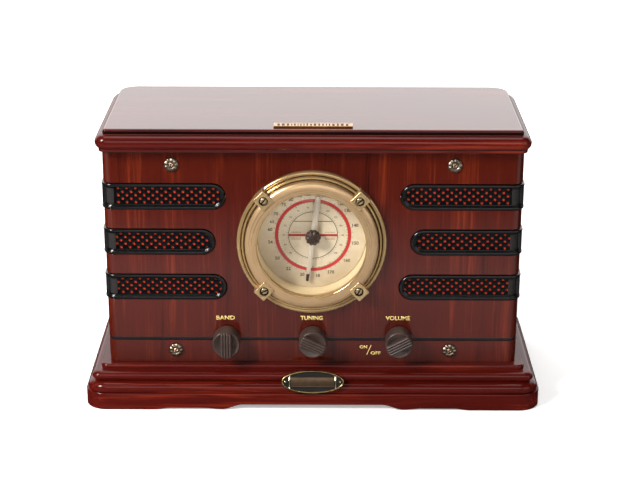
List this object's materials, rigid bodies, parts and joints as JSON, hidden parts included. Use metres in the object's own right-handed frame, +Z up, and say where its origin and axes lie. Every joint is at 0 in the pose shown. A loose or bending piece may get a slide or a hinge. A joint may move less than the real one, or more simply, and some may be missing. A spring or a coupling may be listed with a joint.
{
  "type": "table radio",
  "caption": "Wooden-cased table radio with a round glazed dial in a brass bezel, dark slotted grilles wrapping the front corners, ribbed control knobs and a moulded base.",
  "frame": {"origin": "centre of the overall box, on the surface it stands on", "axes": "+Z up, the front faces -Y, +X to the right as seen from the front"},
  "size_m": [0.404, 0.173, 0.2561],
  "materials": {
    "front_veneer": "clear gloss lacquer over red mahogany veneer, upright grain",
    "moulding_wood": "clear gloss lacquer over red-stained wood, grain along the moulding",
    "rear_board": "dark hardboard, matt",
    "grille_black": "glossy black plastic",
    "grille_screen": "black perforated screen backed by red cloth",
    "bezel_brass": "pale satin brass plating",
    "screw_steel": "plated steel",
    "stud_pewter": "antique pewter plating",
    "dial_cream": "brushed cream-gold printed dial",
    "lens_clear": "clear domed lens",
    "pointer_grey": "translucent grey-white plastic",
    "hub_brown": "dark brown moulded cap",
    "knob_brown": "dark brown satin plastic",
    "pan_tin": "pale gold pressed tin",
    "drum_plastic": "ivory moulded plastic",
    "cord_nylon": "braided nylon dial cord",
    "tuner_tin": "tinned steel can",
    "switch_phenolic": "brown phenolic",
    "speaker_steel": "black painted steel basket",
    "board_green": "green circuit board",
    "transformer_iron": "varnished laminated iron",
    "ferrite_grey": "sintered ferrite",
    "inlet_black": "black moulded plastic",
    "lamp_glass": "warm dial lamp",
    "badge_brass": "aged brass",
    "plate_brass": "bronzed brass"
  },
  "bodies": {
    "cabinet": {"badge": "badge_brass", "band_switch": "switch_phenolic", "dial_bezel": "bezel_brass", "dial_cord": "cord_nylon", "dial_face": "dial_cream", "dial_lamp": "lamp_glass", "dial_lens": "lens_clear", "dial_pan": "pan_tin", "dial_screw_1": "screw_steel", "dial_screw_2": "screw_steel", "dial_screw_3": "screw_steel", "dial_screw_4": "screw_steel", "ferrite_rod": "ferrite_grey", "front_panel": "front_veneer", "grille_bezel_lower_left": "grille_black", "grille_bezel_lower_right": "grille_black", "grille_bezel_middle_left": "grille_black", "grille_bezel_middle_right": "grille_black", "grille_bezel_upper_left": "grille_black", "grille_bezel_upper_right": "grille_black", "grille_insert_lower_left": "grille_screen", "grille_insert_lower_right": "grille_screen", "grille_insert_middle_left": "grille_screen", "grille_insert_middle_right": "grille_screen", "grille_insert_upper_left": "grille_screen", "grille_insert_upper_right": "grille_screen", "main_board": "board_green", "mains_inlet": "inlet_black", "name_plate": "plate_brass", "plinth_board": "moulding_wood", "rear_cover": "rear_board", "rear_screw_1": "screw_steel", "rear_screw_2": "screw_steel", "rear_screw_3": "screw_steel", "rear_screw_4": "screw_steel", "side_left": "front_veneer", "side_right": "front_veneer", "skirt_front": "moulding_wood", "skirt_left": "moulding_wood", "skirt_rear": "moulding_wood", "skirt_right": "moulding_wood", "speaker_left": "speaker_steel", "speaker_right": "speaker_steel", "stud_1": "stud_pewter", "stud_2": "stud_pewter", "stud_3": "stud_pewter", "stud_4": "stud_pewter", "top_board": "moulding_wood", "transformer": "transformer_iron", "tuner_can": "tuner_tin", "volume_pot": "switch_phenolic"},
    "band_control": {"knob_band": "knob_brown", "shaft_band": "screw_steel"},
    "tuning_control": {"knob_tuning": "knob_brown", "tuning_shaft": "screw_steel"},
    "volume_control": {"knob_volume": "knob_brown", "shaft_volume": "screw_steel"},
    "dial_indicator": {"dial_drum": "drum_plastic", "pointer": "pointer_grey", "pointer_hub": "hub_brown"}
  },
  "joints": [
    {"name": "band_select", "type": "hinge", "parent": "cabinet", "child": "band_control", "pos_m": [-0.076, -0.06426, 0.0613], "axis": [0, 1, 0], "range_deg": [0, 60]},
    {"name": "tuning_turn", "type": "hinge", "parent": "cabinet", "child": "tuning_control", "pos_m": [0, -0.06426, 0.0613], "axis": [0, 1, 0], "range_deg": [-420, 390]},
    {"name": "volume_turn", "type": "hinge", "parent": "cabinet", "child": "volume_control", "pos_m": [0.076, -0.06426, 0.0613], "axis": [0, 1, 0], "range_deg": [-32, 268]},
    {"name": "pointer_turn", "type": "hinge", "parent": "cabinet", "child": "dial_indicator", "pos_m": [0, -0.06426, 0.1525], "axis": [0, 1, 0], "range_deg": [-141, 131]}
  ],
  "couplings": [
    {"joint": "pointer_turn", "follows": "tuning_turn", "ratio": 0.33333}
  ]
}
